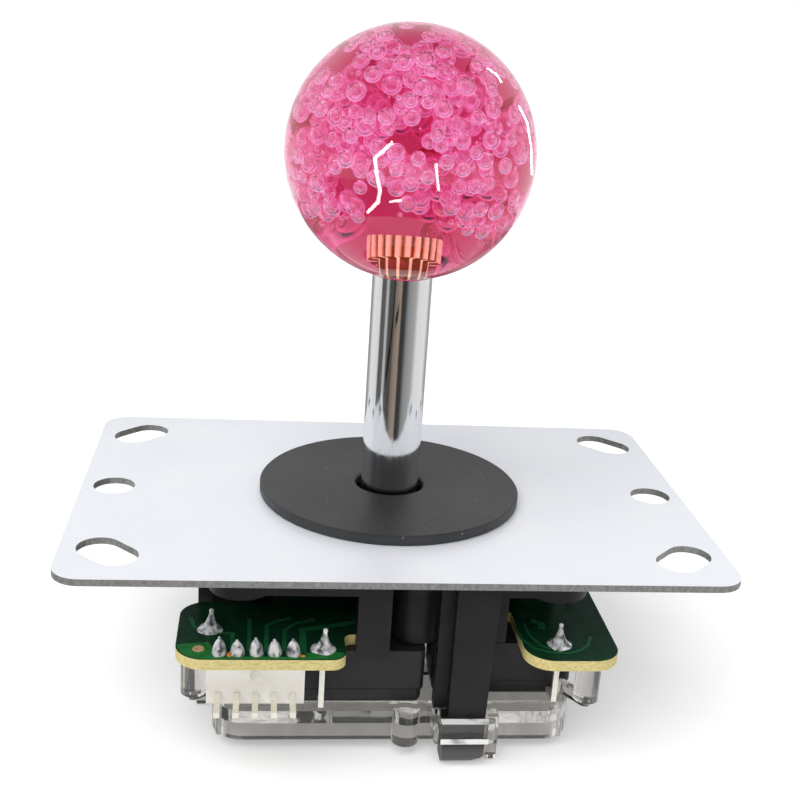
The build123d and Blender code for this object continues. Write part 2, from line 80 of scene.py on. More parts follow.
# Bubbles: kinds as (count, smallest and largest radius), facets as (radius limit, segments, rings)
bubble_seed = 11
bubble_kinds = ((480, 0.90 * mm, 1.40 * mm), (420, 0.15 * mm, 0.45 * mm))
bubble_facets = ((0.5 * mm, 8, 6), (2.0 * mm, 14, 9))
bubble_skin = 0.3 * mm
bubble_gap = 0.02 * mm
bubble_crowd = 0.22
bubble_patch = 6.0 * mm
patch_share = 0.42
patch_blur = 0.3

# Resin left clear: below a bowl (shares of the radius), below a wavy band in front, and along lines of
# sight at spots given as (right, up, reach) in millimetres
bowl_level = -0.28
bowl_drop = 0.32
clear_band = -6.0 * mm
clear_wave = 5.0 * mm
clear_swing = 6.4 * mm
clear_spots = (
    (-0.9, 15.6, 2.1), (-11.0, 11.8, 2.2), (6.4, 12.6, 1.8), (12.4, 9.6, 2.0), (16.4, -2.0, 2.2),
    (-8.4, -4.0, 2.0), (-16.8, 5.6, 1.6), (-1.0, 1.6, 1.4), (-3.4, -7.0, 2.6),
)

# Brass insert: painted shade and highlights on the ribs round its collar, and painted highlights round the
# sleeve below
insert_ribs = 20
sleeve_gleams = 12
sleeve_phase = 3.98
collar_length = 2.6 * mm
collar_edge = 0.1 * mm
collar_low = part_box("ball_insert")[1][2] - collar_length

# Black mouldings: the half-widths of a painted shade line along the switches' seam, and a painted
# reflection that makes the hooks' lower ends paler
seam_widths = (0.08 * mm, 0.2 * mm)
seam_shade_tone = (0.001, 0.001, 0.001, 1)
# Painted reflection on the hooks' lower ends: its height, fade and tone
painted_sheen_height = 2 * mm
painted_sheen_fade = 2 * mm
painted_sheen_tone = (0.10, 0.10, 0.10, 1)

# Faces count as upright below the first of these heights of their normal, and as level above the second
upright_limits = (0.55, 0.85)

# Window reflections on the ball: picture points and width in pixels
glint_distance = 45 * mm
glint_step = 3
glint_full = 0.015
glint_end = 0.04
glint_strength = 24.0
glints = (
    (((393, 142), (375, 158), (376, 170), (380, 191), (378, 202), (367, 213)), 3.6),
    (((436, 163), (437, 175), (438.5, 191)), 3.0),
    (((389, 202), (402, 200)), 2.6),
    (((487, 68), (496, 74), (502, 83)), 1.8),
    (((519, 106), (527, 122), (531, 145), (532, 175)), 1.3),
)

# Room seen in the shaft: angle to the right of straight ahead (degrees) and colour
room_radius = 80 * mm
room_top = 30 * mm
room_back_top = 18 * mm
room_front = 100
room_steps = 72
room_bands = (
    (-180, (0.10, 0.10, 0.10)),
    (-170, (0.45, 0.45, 0.45)),
    (-146, (0.30, 0.30, 0.30)),
    (-124, (0.85, 0.85, 0.85)),
    (-95, (0.80, 0.80, 0.80)),
    (-87, (0.75, 0.75, 0.75)),
    (-82, (0.10, 0.10, 0.10)),
    (-65, (0.12, 0.12, 0.12)),
    (-61, (0.50, 0.50, 0.49)),
    (-55, (0.50, 0.50, 0.49)),
    (-50, (0.09, 0.09, 0.08)),
    (-30, (0.07, 0.07, 0.07)),
    (-24, (0.24, 0.19, 0.15)),
    (-6, (0.36, 0.28, 0.22)),
    (-1, (0.04, 0.04, 0.04)),
    (12, (0.05, 0.05, 0.05)),
    (24, (0.28, 0.28, 0.28)),
    (52, (0.42, 0.42, 0.41)),
    (66, (0.80, 0.80, 0.80)),
    (110, (0.85, 0.85, 0.85)),
    (136, (0.30, 0.30, 0.30)),
    (150, (0.55, 0.55, 0.55)),
    (162, (0.14, 0.14, 0.14)),
    (180, (0.10, 0.10, 0.10)),
)

# Sun, world and floor
world_light = 0.55
sun_strength = 1.72
sun_spread = 60.0
sun_place = (-0.35, -0.40, 0.85)
front_tone = 0.08
front_fade = (-0.35, 0.25)
ceiling_tone = 0.25
ceiling_fade = (0.55, 0.9)
through_lift = 0.15
floor_half = 6.0
floor_lift = 0.29
light_bounces = 24

# Circuit board: widths, profiles and (x, y) points in millimetres
trace_lift = 0.04 * mm
mitre_limit = 0.4
traces = (
    (0.6, ((-23.4, -29.4), (-23.5, -24.1), (-27.6, -23.6), (-29.0, -22.2), (-29.6, -19.5))),
    (0.6, ((-21.1, -29.0), (-21.2, -20.0))),
    (0.6, ((-18.8, -29.0), (-18.7, -21.8), (-17.5, -20.7), (-15.2, -19.5))),
    (0.6, ((-16.3, -29.0), (-16.2, -23.2), (-14.6, -21.1), (-11.8, -19.9))),
    (1.0, ((-13.8, -30.4), (-13.6, -22.9), (-9.8, -21.9), (-5.9, -20.6))),
    (0.4, (
        (17.4, -21.1), (17.7, -25.3), (19.0, -27.7), (21.1, -28.8), (23.7, -29.1), (25.7, -28.2),
        (27.1, -26.7), (28.0, -24.4),
    )),
    (0.4, ((18.9, -20.6), (19.0, -23.8), (20.0, -26.8), (21.3, -27.9))),
    (1.0, ((20.2, -19.8), (21.5, -20.6), (21.3, -22.2))),
)
pour_inner = (
    (-26.8, -26.5), (-26.2, -27.7), (-26.1, -30.4), (-14.1, -30.4), (-14.0, -29.5), (-10.1, -29.0),
)
pour_edge = 0.22 * mm
board_corner = 4.0 * mm
lobe_corner = 2.0 * mm
lobe_edge = -7.8 * mm
via_segments = 24
via_place = (-28.0, -28.4)
via_profile = ((0, 0.05), (0.45, 0.06), (0.6, 0.09), (0.78, 0.08), (0.85, 0.0), (0, -0.02))

# Drops of flux, in millimetres: (x, y, half width, half depth), and a profile as shares
flux_places = ((-23.75, -29.85, 0.40, 0.80), (-13.75, -30.15, 0.45, 0.40))
flux_height = 0.16
flux_segments = 20
flux_profile = ((0, 1.0), (0.5, 0.9), (0.85, 0.5), (1, 0), (0, -1.0))

# Soldered joints: profiles as shares of the joint's radius and height, swells as (share, waves, way)
solder_segments = 24
solder_seed = 5
solder_heights = (0.93, 1.07)
solder_lean = 0.08
solder_phase = 6.28
solder_swells = ((0.05, 3, 1), (0.04, 5, -1))
solder_crease = 50.0
solder_small_height = 2.4 * mm
solder_large_height = 3.3 * mm
solder_large_r = 1.3 * mm
solder_small = (
    (0, 1.0), (0.13, 0.985), (0.21, 0.94), (0.21, 0.89), (0.27, 0.84), (0.47, 0.74), (0.66, 0.60),
    (0.82, 0.42), (0.93, 0.24), (1.0, 0.08), (1.0, 0.0), (0, -0.02),
)
solder_large = (
    (0, 1.0), (0.12, 0.985), (0.20, 0.94), (0.19, 0.87), (0.17, 0.80), (0.23, 0.66), (0.34, 0.48),
    (0.48, 0.30), (0.66, 0.16), (0.86, 0.06), (1.05, 0.02), (1.05, 0.0), (0, -0.02),
)

# Gate: the bars that the latch hooks catch, where highlights are painted, in millimetres
gate_ior = 1.58
bar_x = (6.2, 13.1)
bar_y = (-30.6, -29.25)
bar_z = (-25.9, -22.6)
bar_gleam = 0.85
bar_skin = 0.02


# Node helpers
def start(name, base, roughness, metallic=0.0):
    """A new node material, its tree and its shader."""
    made = bpy.data.materials.new(name)
    made.use_nodes = True
    shader = made.node_tree.nodes["Principled BSDF"]
    shader.inputs["Base Color"].default_value = (*base, 1)
    shader.inputs["Roughness"].default_value = roughness
    shader.inputs["Metallic"].default_value = metallic
    return made, made.node_tree, shader


def add(tree, kind, inputs=(), **settings):
    """A node with its settings, and its inputs set to values or linked to sockets."""
    made = tree.nodes.new(kind)
    for key, value in settings.items():
        setattr(made, key, value)
    for key, value in dict(inputs).items():
        if isinstance(value, bpy.types.NodeSocket):
            tree.links.new(value, made.inputs[key])
        else:
            made.inputs[key].default_value = value
    return made


def place(tree, stretch=(1, 1, 1)):
    """Object coordinates, stretched."""
    coords = add(tree, "ShaderNodeTexCoord").outputs["Object"]
    return add(tree, "ShaderNodeMapping", {"Vector": coords, "Scale": stretch}).outputs["Vector"]


def cloud(tree, size, detail=2.0, stretch=(1, 1, 1)):
    """Soft noise with features of this size in metres."""
    vector = place(tree, stretch)
    made = add(tree, "ShaderNodeTexNoise", {"Vector": vector, "Scale": 1 / size, "Detail": detail})
    return made.outputs["Fac"]


def ramp(tree, factor, *stops):
    """Colours along a factor."""
    made = add(tree, "ShaderNodeValToRGB", {"Fac": factor})
    points = made.color_ramp.elements
    while len(points) < len(stops):
        points.new(1.0)
    for point, (at, colour) in zip(points, stops):
        point.position = at
        point.color = (*colour, 1)
    return made.outputs["Color"]


def mapped(tree, factor, low, high, start_at=0.3, end_at=0.7):
    """A value from low to high as a factor goes from start_at to end_at."""
    limits = {"Value": factor, "From Min": start_at, "From Max": end_at, "To Min": low, "To Max": high}
    return add(tree, "ShaderNodeMapRange", limits).outputs["Result"]


def mixed(tree, factor, first, second, blend="MIX"):
    """Two colours mixed, multiplied or added."""
    inputs = {0: factor, 6: first, 7: second}
    return add(tree, "ShaderNodeMix", inputs, data_type="RGBA", blend_type=blend).outputs[2]


def between(tree, factor, first, second):
    """The first value where the factor is 0, the second where it is 1."""
    return add(tree, "ShaderNodeMix", {0: factor, 2: first, 3: second}).outputs[0]


def maths(tree, operation, *values):
    """The result of one operation on sockets or numbers."""
    return add(tree, "ShaderNodeMath", dict(enumerate(values)), operation=operation).outputs["Value"]


def axes(tree, vector=None):
    """The X, Y and Z of a vector, or else of the object coordinates."""
    source = place(tree) if vector is None else vector
    return add(tree, "ShaderNodeSeparateXYZ", {"Vector": source}).outputs


def bumped(tree, shader, height, depth):
    """Relief of this depth in metres."""
    made = add(tree, "ShaderNodeBump", {"Height": height, "Distance": depth})
    tree.links.new(made.outputs["Normal"], shader.inputs["Normal"])


def mottled(tree, shader, size, detail, low, high):
    """A base colour that wanders between two tones in patches of this size."""
    colour = ramp(tree, cloud(tree, size, detail), (0.3, low), (0.7, high))
    tree.links.new(colour, shader.inputs["Base Color"])


def grained(tree, shader, texture, low, high, depth):
    """Roughness from low to high and relief of this depth, both from one texture."""
    tree.links.new(mapped(tree, texture, low, high), shader.inputs["Roughness"])
    bumped(tree, shader, texture, depth)


def upright(tree):
    """1 on upright faces and 0 on level ones."""
    normal = add(tree, "ShaderNodeTexCoord").outputs["Normal"]
    level = maths(tree, "ABSOLUTE", axes(tree, normal)["Z"])
    return mapped(tree, level, 1.0, 0.0, *upright_limits)


# Materials
def zinc():
    """Bright zinc plate: pale and bluish on the flats, grey and speckled on the sheared edge."""
    made, tree, shader = start("zinc", (0.84, 0.87, 0.91), 0.42, 1.0)
    flat = ramp(tree, cloud(tree, 14 * mm, 4), (0.3, (0.89, 0.93, 0.98)), (0.7, (0.93, 0.965, 1.0)))
    specks = ramp(tree, cloud(tree, 0.35 * mm, 2), (0.70, (1, 1, 1)), (0.76, (0.72, 0.73, 0.75)))
    flat = mixed(tree, 1.0, flat, specks, "MULTIPLY")
    streaks = cloud(tree, 0.5 * mm, 5, (1, 1, 0.6))
    edge = ramp(tree, streaks, (0.30, (0.20, 0.20, 0.195)), (0.70, (0.36, 0.36, 0.35)))
    sheared = upright(tree)
    tree.links.new(mixed(tree, sheared, flat, edge), shader.inputs["Base Color"])
    tree.links.new(mapped(tree, sheared, 0.20, 0.25, 0.0, 1.0), shader.inputs["Metallic"])
    grained(tree, shader, cloud(tree, 0.3 * mm, 3), 0.38, 0.50, 0.004 * mm)
    return made


def washer_plastic():
    """Dark grey sheet plastic with a fine matte texture and a little dust."""
    made, tree, shader = start("washer_plastic", (0.045, 0.047, 0.049), 0.5)
    broad = cloud(tree, 9 * mm, 3)
    colour = ramp(tree, broad, (0.3, (0.028, 0.030, 0.032)), (0.7, (0.040, 0.042, 0.044)))
    dust = ramp(tree, cloud(tree, 0.5 * mm, 1), (0.77, (0, 0, 0)), (0.80, (0.25, 0.25, 0.25)))
    tree.links.new(mixed(tree, 1.0, colour, dust, "ADD"), shader.inputs["Base Color"])
    grained(tree, shader, cloud(tree, 0.22 * mm, 2), 0.42, 0.58, 0.012 * mm)
    return made


def black_plastic(name, low, high, roughness, seam=None, tip=None):
    """Moulded black plastic: a painted shade line where two halves meet, and a painted reflection that
    makes it paler below a height.
    """
    made, tree, shader = start(name, low, roughness)
    colour = ramp(tree, cloud(tree, 5 * mm, 4), (0.3, low), (0.7, high))
    if seam is not None:
        # Painted shade: a dark line along the seam, where the cover is set in
        away = maths(tree, "ABSOLUTE", maths(tree, "SUBTRACT", axes(tree)["Z"], seam))
        colour = mixed(tree, mapped(tree, away, 1.0, 0.0, *seam_widths), colour, seam_shade_tone)
    # Painted reflection: paler towards the bottom, below the tip height
    if tip is not None:
        sheen_mask = mapped(tree, axes(tree)["Z"], 1.0, 0.0, tip, tip + painted_sheen_fade)
        colour = mixed(tree, sheen_mask, colour, painted_sheen_tone)
    tree.links.new(colour, shader.inputs["Base Color"])
    shader.inputs["Specular IOR Level"].default_value = 0.25
    grained(tree, shader, cloud(tree, 0.18 * mm, 2), roughness - 0.06, roughness + 0.08, 0.008 * mm)
    return made


def board_material():
    """Green solder mask on the faces and cream glass laminate on the cut edges."""
    made, tree, shader = start("board", (0.01, 0.10, 0.035), 0.3)
    mask = ramp(tree, cloud(tree, 3 * mm, 4), (0.3, (0.004, 0.026, 0.012)), (0.7, (0.007, 0.042, 0.019)))
    layers = cloud(tree, 0.16 * mm, 3, (0.3, 0.3, 1.0))
    edge = ramp(tree, layers, (0.30, (0.60, 0.49, 0.20)), (0.60, (0.80, 0.69, 0.32)))
    cut = upright(tree)
    tree.links.new(mixed(tree, cut, mask, edge), shader.inputs["Base Color"])
    tree.links.new(mapped(tree, cut, 0.24, 0.75, 0.0, 1.0), shader.inputs["Roughness"])
    shader.inputs["Specular IOR Level"].default_value = 0.06
    bumped(tree, shader, layers, 0.01 * mm)
    return made


def copper_under_mask(name, low, high):
    """Copper under the mask, a lighter green."""
    made, tree, shader = start(name, high, 0.28)
    mottled(tree, shader, 1.2 * mm, 3, low, high)
    shader.inputs["Specular IOR Level"].default_value = 0.08
    bumped(tree, shader, cloud(tree, 0.3 * mm, 2), 0.006 * mm)
    return made


def via_metal():
    """The tan ring of a small plated hole."""
    made, tree, shader = start("via_metal", (0.55, 0.36, 0.17), 0.4, 0.3)
    mottled(tree, shader, 0.5 * mm, 2, (0.46, 0.27, 0.11), (0.64, 0.44, 0.24))
    return made


def painted_gleam_plastic():
    """Painted highlight: pale streaks on an opaque skin over the clear plastic's edges."""
    made, tree, shader = start("painted_gleam_plastic", (0.93, 0.93, 0.92), 0.3)
    streaks = cloud(tree, 1.2 * mm, 4, (0.5, 0.5, 1))
    colour = ramp(tree, streaks, (0.32, (0.35, 0.35, 0.35)), (0.46, (0.95, 0.95, 0.94)))
    tree.links.new(colour, shader.inputs["Base Color"])
    return made


def flux_resin():
    """Dried amber flux."""
    made, tree, shader = start("flux_resin", (0.5, 0.2, 0.03), 0.15)
    mottled(tree, shader, 0.4 * mm, 2, (0.30, 0.09, 0.02), (0.62, 0.27, 0.05))
    return made


def solder_metal():
    """Solder with a slightly frosted, rippled skin, and painted reflections: patches from near black to
    white.
    """
    made, tree, shader = start("solder", (0.85, 0.86, 0.88), 0.12, 0.4)
    painted_dark, painted_grey, bright = (0.12, 0.12, 0.13), (0.62, 0.63, 0.65), (1, 1, 1)
    # Painted reflections: dark, grey and white patches in the base colour
    patches = cloud(tree, 0.9 * mm, 2)
    colour = ramp(tree, patches, (0.34, painted_dark), (0.46, painted_grey), (0.58, bright))
    tree.links.new(colour, shader.inputs["Base Color"])
    grained(tree, shader, cloud(tree, 0.6 * mm, 3), 0.05, 0.18, 0.09 * mm)
    return made


def tinned_metal():
    """Tin-plated brass: pale, slightly yellow."""
    made, tree, shader = start("tinned_metal", (0.86, 0.84, 0.74), 0.34, 0.6)
    mottled(tree, shader, 0.8 * mm, 3, (0.80, 0.77, 0.66), (0.90, 0.88, 0.79))
    grained(tree, shader, cloud(tree, 0.2 * mm, 3, (1, 1, 0.15)), 0.28, 0.42, 0.006 * mm)
    return made


def pale_plastic(name, low, high, roughness):
    """Pale moulded plastic that lets a little light in."""
    made, tree, shader = start(name, high, roughness)
    mottled(tree, shader, 3 * mm, 3, low, high)
    shader.inputs["Subsurface Weight"].default_value = 0.15
    shader.inputs["Subsurface Scale"].default_value = 0.4 * mm
    grained(tree, shader, cloud(tree, 0.25 * mm, 2), roughness - 0.05, roughness + 0.08, 0.006 * mm)
    return made


def clear_plastic():
    """Clear polycarbonate with faint flow marks, and a grey-brown tint as painted shade."""
    made, tree, shader = start("clear_plastic", (0.68, 0.665, 0.64), 0.03)
    shader.inputs["Transmission Weight"].default_value = 1.0
    shader.inputs["IOR"].default_value = gate_ior
    flow = cloud(tree, 4 * mm, 3, (1, 1, 0.4))
    # Painted shade: the grey-brown tint darkens the gate
    colour = ramp(tree, flow, (0.3, (0.52, 0.50, 0.47)), (0.7, (0.69, 0.67, 0.64)))
    tree.links.new(colour, shader.inputs["Base Color"])
    grained(tree, shader, flow, 0.01, 0.07, 0.03 * mm)
    return made


def chrome():
    """Polished chrome with tiny pits and drawn lines."""
    made, tree, shader = start("chrome", (0.82, 0.83, 0.84), 0.07, 1.0)
    pits = cloud(tree, 0.25 * mm, 2)
    colour = ramp(tree, pits, (0.24, (0.45, 0.45, 0.45)), (0.34, (0.82, 0.83, 0.84)))
    tree.links.new(colour, shader.inputs["Base Color"])
    grained(tree, shader, cloud(tree, 0.25 * mm, 3, (1, 1, 0.08)), 0.04, 0.13, 0.0015 * mm)
    return made


def steel(name, low, high, roughness):
    """Plain steel with a fine grain."""
    made, tree, shader = start(name, high, roughness, 1.0)
    mottled(tree, shader, 1.5 * mm, 4, low, high)
    grained(tree, shader, cloud(tree, 0.2 * mm, 3), roughness - 0.08, roughness + 0.1, 0.004 * mm)
    return made


def stripes(tree, turn, count, phase):
    """A wave round the axis, from -1 to 1."""
    return maths(tree, "COSINE", maths(tree, "MULTIPLY_ADD", turn, count, phase))


def brass():
    """Brass: painted shade in the grooves and painted highlights on the ribs of its knurled collar, a
    darker turned sleeve with a few painted highlights, and a painted glow over both.
    """
    made, tree, shader = start("brass", (1.0, 0.95, 0.5), 0.25, 0.35)
    at = axes(tree)
    turn = maths(tree, "ARCTAN2", at["Y"], at["X"])
    # Painted shade in the grooves and painted highlights on the ribs, broken up by noise
    rib_noise = cloud(tree, 1.5 * mm, 2, (1, 1, 0.2))
    ribs = maths(tree, "ADD", stripes(tree, turn, insert_ribs, 0.0), rib_noise)
    ribs = mapped(tree, ribs, 0.0, 1.0, -0.4, 1.3)
    # Painted highlights in stripes round the sleeve
    gleams = mapped(tree, stripes(tree, turn, sleeve_gleams, sleeve_phase), 0.0, 0.9, 0.6, 0.95)
    collar = mapped(tree, at["Z"], 0.0, 1.0, collar_low, collar_low + collar_edge)
    bright = between(tree, collar, gleams, ribs)
    tones = ((0.0, (0.36, 0.19, 0.06)), (0.4, (1.0, 0.80, 0.30)), (0.8, (1.0, 1.0, 0.62)))
    # Painted glow: emission in the tones of the painted shade and highlights
    glows = ((0.0, (0.05, 0.04, 0.01)), (0.4, (0.32, 0.46, 0.13)), (0.9, (0.62, 1.0, 0.50)))
    tree.links.new(ramp(tree, bright, *tones), shader.inputs["Base Color"])
    tree.links.new(ramp(tree, bright, *glows), shader.inputs["Emission Color"])
    shader.inputs["Emission Strength"].default_value = 1.2
    tree.links.new(mapped(tree, cloud(tree, 0.5 * mm, 2), 0.16, 0.32), shader.inputs["Roughness"])
    return made


def bubble_wall():
    """The milky skin of an air bubble, with a painted glow round its lower rim."""
    made, tree, shader = start("bubble_wall", (1.0, 0.93, 0.97), 0.0)
    shader.inputs["Transmission Weight"].default_value = 0.97
    shader.inputs["IOR"].default_value = resin_ior
    mottled(tree, shader, 4 * mm, 2, (1.0, 0.88, 0.95), (1.0, 0.97, 0.99))
    # Painted glow: strongest where the wall is low on its bubble and seen edge-on
    below = add(tree, "ShaderNodeAttribute", attribute_name="below").outputs["Fac"]
    rim = add(tree, "ShaderNodeLayerWeight", {"Blend": 0.5}).outputs["Facing"]
    crescent = maths(tree, "MULTIPLY", below, rim)
    shader.inputs["Emission Color"].default_value = (0.72, 0.52, 0.90, 1)
    tree.links.new(mapped(tree, crescent, 0.035, 0.55, 0.12, 0.60), shader.inputs["Emission Strength"])
    return made


def pink_resin():
    """Clear pink casting resin: its depth of colour comes from absorption."""
    made, tree, shader = start("pink_resin", (1.0, 0.97, 0.98), 0.0)
    shader.inputs["Transmission Weight"].default_value = 1.0
    shader.inputs["IOR"].default_value = resin_ior
    skin = cloud(tree, 6 * mm, 2)
    tree.links.new(mapped(tree, skin, 0.0, 0.012), shader.inputs["Roughness"])
    inputs = {"Color": (*resin_tint, 1), "Density": resin_density}
    depth = add(tree, "ShaderNodeVolumeAbsorption", inputs)
    tree.links.new(depth.outputs["Volume"], tree.nodes["Material Output"].inputs["Volume"])
    return made


# Mesh helpers
def make_piece(name, points, faces, material, body, slot=None, crease=35.0):
    """A smooth-shaded mesh, sharp where its faces turn by more than the crease angle."""
    mesh = bpy.data.meshes.new(name)
    mesh.from_pydata(points, [], faces)
    mesh.materials.append(material)
    mesh.shade_smooth()
    mesh.set_sharp_from_angle(angle=math.radians(crease))
    piece = bpy.data.objects.new(name, mesh)
    bpy.context.scene.collection.objects.link(piece)
    if body:
        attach(piece, body)
    return piece


def lathe(profile, segments):
    """Points and faces of a closed form turned about Z from (radius, height), its ends on the axis."""
    points = [(0, 0, profile[0][1])]
    for radius, height in profile[1:-1]:
        for i in range(segments):
            angle = 2 * math.pi * i / segments
            points.append((radius * math.cos(angle), radius * math.sin(angle), height))
    points.append((0, 0, profile[-1][1]))
    faces = []
    last = len(points) - 1
    for i in range(segments):
        j = (i + 1) % segments
        faces.append((0, 1 + i, 1 + j))
        for ring in range(len(profile) - 3):
            a = 1 + ring * segments
            b = a + segments
            faces.append((a + i, b + i, b + j, a + j))
        faces.append((last, last - segments + j, last - segments + i))
    return points, faces


def joined(parts):
    """Several (points, faces) as one."""
    points, faces = [], []
    for part_points, part_faces in parts:
        first = len(points)
        points += part_points
        faces += [tuple(first + i for i in face) for face in part_faces]
    return points, faces


def islands(node):
    """The separate pieces of a CAD node, as (lowest, highest) corners."""
    mesh = nodes[node].data
    home = list(range(len(mesh.vertices)))

    def root(i):
        while home[i] != i:
            home[i] = home[home[i]]
            i = home[i]
        return i

    seen = {}
    for vertex in mesh.vertices:
        key = tuple(round(c, 6) for c in vertex.co)
        home[vertex.index] = seen.setdefault(key, vertex.index)
    for edge in mesh.edges:
        home[root(edge.vertices[0])] = root(edge.vertices[1])
    groups = {}
    for vertex in mesh.vertices:
        groups.setdefault(root(vertex.index), []).append(vertex.co)
    boxes = []
    for group in groups.values():
        low = Vector([min(c[k] for c in group) for k in range(3)])
        high = Vector([max(c[k] for c in group) for k in range(3)])
        boxes.append((low, high))
    return sorted(boxes, key=lambda box: (round(box[0].x, 5), round(box[0].y, 5)))


# Ball: clear resin with air bubbles, cast round the insert
def unit_bubble(segments, rings):
    """A ringed sphere whose faces look inward, into the air."""
    profile = [(0, 1)]
    for ring in range(1, rings):
        angle = math.pi * ring / rings
        profile.append((math.sin(angle), math.cos(angle)))
    profile.append((0, -1))
    points, faces = lathe(profile, segments)
    return [Vector(point) for point in points], [tuple(reversed(face)) for face in faces]


def sight_lines(radius):
    """Lines through the resin, bent at its skin, that stay clear of bubbles when seen from the front."""
    toward = (camera_place - ball_frame()[0]).normalized()
    across = Vector((-toward.y, toward.x, 0)).normalized()
    upward = toward.cross(across)
    lines = []
    for right, up, reach in clear_spots:
        flat = across * right * mm + upward * up * mm
        begin = flat + toward * math.sqrt(radius**2 - flat.length_squared)
        normal = begin.normalized()
        tilt = normal.dot(toward)
        bend = tilt / resin_ior - math.sqrt(1 - (1 - tilt**2) / resin_ior**2)
        lines.append((begin, (bend * normal - toward / resin_ior).normalized(), reach * mm))
    return lines


def left_clear(spot, size, radius, lines):
    """True where a bubble would be in resin that stays clear."""
    across = math.hypot(spot.x, spot.y) / radius
    if spot.z < (bowl_level - bowl_drop * across) * radius + size:
        return True
    wave = clear_wave * math.sin(abs(spot.x) / clear_swing) ** 2
    if spot.y < 0 and spot.z < clear_band - wave + size:
        return True
    return any((spot - begin).cross(along).length < reach for begin, along, reach in lines)


def neighbours(grid, key):
    """The bubbles in a cell of the grid and in the cells round it."""
    steps = (-1, 0, 1)
    cells = [(key[0] + x, key[1] + y, key[2] + z) for x in steps for y in steps for z in steps]
    return [bubble for cell in cells for bubble in grid.get(cell, ())]


def bubble_places(radius):
    """Bubbles gathered in the upper part of the ball, in patches, none through another."""
    draw = random.Random(bubble_seed)
    lines = sight_lines(radius)
    cell = 2 * max(largest for _, _, largest in bubble_kinds)
    grid = {}
    found = []
    for count, smallest, largest in bubble_kinds:
        wanted = len(found) + count
        while len(found) < wanted:
            size = draw.uniform(smallest, largest)
            outward = Vector([draw.gauss(0, 1) for _ in range(3)]).normalized()
            spot = outward * (radius - size - bubble_skin) * draw.random() ** bubble_crowd
            level = draw.random()
            if left_clear(spot, size, radius, lines):
                continue
            if noise.noise(spot / bubble_patch) + patch_share < patch_blur * level:
                continue
            key = tuple(math.floor(c / cell) for c in spot)
            near = neighbours(grid, key)
            if any((spot - other).length < size + other_size + bubble_gap for other, other_size in near):
                continue
            grid.setdefault(key, []).append((spot, size))
            turn = Quaternion([draw.uniform(-1, 1) for _ in range(4)]).normalized()
            found.append((spot, size, turn))
    return found


def ball_frame():
    """The ball's centre, its radius and the height of its flat foot."""
    low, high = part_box("ball_top")
    radius = (high[0] - low[0]) / 2
    return Vector((0, 0, high[2] - radius)), radius, low[2]


def ball_skin(centre, radius, foot):
    """The ball's outside, turned from its top down to its foot."""
    end = math.acos((foot - centre.z) / radius)
    profile = [(0, centre.z + radius)]
    for ring in range(1, ball_rings + 1):
        angle = end * ring / ball_rings
        profile.append((radius * math.sin(angle), centre.z + radius * math.cos(angle)))
    profile.append((0, foot))
    return lathe(profile, ball_segments)


def make_ball():
    """Resin and bubbles in one mesh, which also keeps how low each point lies on its bubble."""
    centre, radius, foot = ball_frame()
    skin_points, skin_faces = ball_skin(centre, radius, foot)
    parts = [(skin_points, skin_faces)]
    lowness = [0.0] * len(skin_points)
    shapes = [(limit, unit_bubble(segments, rings)) for limit, segments, rings in bubble_facets]
    for spot, size, turn in bubble_places(radius):
        points, faces = next(shape for limit, shape in shapes if size < limit)
        turned = [turn @ point for point in points]
        parts.append(([centre + spot + size * point for point in turned], faces))
        lowness += [0.5 - 0.5 * point.z for point in turned]
    ball = make_piece("ball_resin", *joined(parts), pink_resin(), "lever", "pink_plastic")
    ball.data.materials.append(bubble_wall())
    for face in ball.data.polygons[len(skin_faces):]:
        face.material_index = 1
    # How low each point lies on its bubble sets the painted glow on the lower rims
    below = ball.data.attributes.new("below", "FLOAT", "POINT")
    below.data.foreach_set("value", lowness)
    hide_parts("ball_top")


# Circuit board: copper under the mask, flux and the soldered joints
def offset_outline(path, half):
    """The outline of a flat ribbon along a path."""
    left, right = [], []
    for i, point in enumerate(path):
        before = (point - path[i - 1]).normalized() if i else None
        after = (path[i + 1] - point).normalized() if i + 1 < len(path) else None
        along = ((before or after) + (after or before)).normalized()
        stretch = half / max(mitre_limit, along.dot(after or before))
        side = Vector((-along.y, along.x)) * stretch
        left.append(point + side)
        right.append(point - side)
    return right + left[::-1]


def prism(outline, low, high):
    """An upright solid on a flat outline that runs anticlockwise."""
    count = len(outline)
    points = [(x, y, low) for x, y in outline] + [(x, y, high) for x, y in outline]
    faces = [tuple(reversed(range(count))), tuple(range(count, 2 * count))]
    for i in range(count):
        j = (i + 1) % count
        faces.append((i, j, count + j, count + i))
    return points, faces


def arc(centre, radius, first, last, steps=8):
    """Points on an arc, its angles in degrees."""
    angles = [math.radians(first + (last - first) * i / steps) for i in range(steps + 1)]
    return [Vector((centre[0] + radius * math.cos(a), centre[1] + radius * math.sin(a))) for a in angles]


def make_traces(base, top):
    """Narrow ribbons of copper."""
    parts = []
    for width, path in traces:
        ribbon = offset_outline([Vector(p) * mm for p in path], width * mm / 2)
        parts.append(prism(ribbon, base, top))
    mask = copper_under_mask("trace_mask", (0.008, 0.080, 0.027), (0.014, 0.125, 0.044))
    make_piece("board_traces", *joined(parts), mask, "base", "board_green")


def make_pour(half, base, top):
    """The broad copper round the outer edge of the board's left lobe."""
    outer = arc((-half + board_corner, -half + board_corner), board_corner - pour_edge, 180, 270)
    outer += arc((lobe_edge - lobe_corner, -half + lobe_corner), lobe_corner - pour_edge, 270, 360)
    inner = [Vector(p) * mm for p in pour_inner]
    mask = copper_under_mask("pour_mask", (0.009, 0.115, 0.022), (0.017, 0.175, 0.036))
    make_piece("board_pour", *prism(outer + inner[::-1], base, top), mask, "base", "board_green")


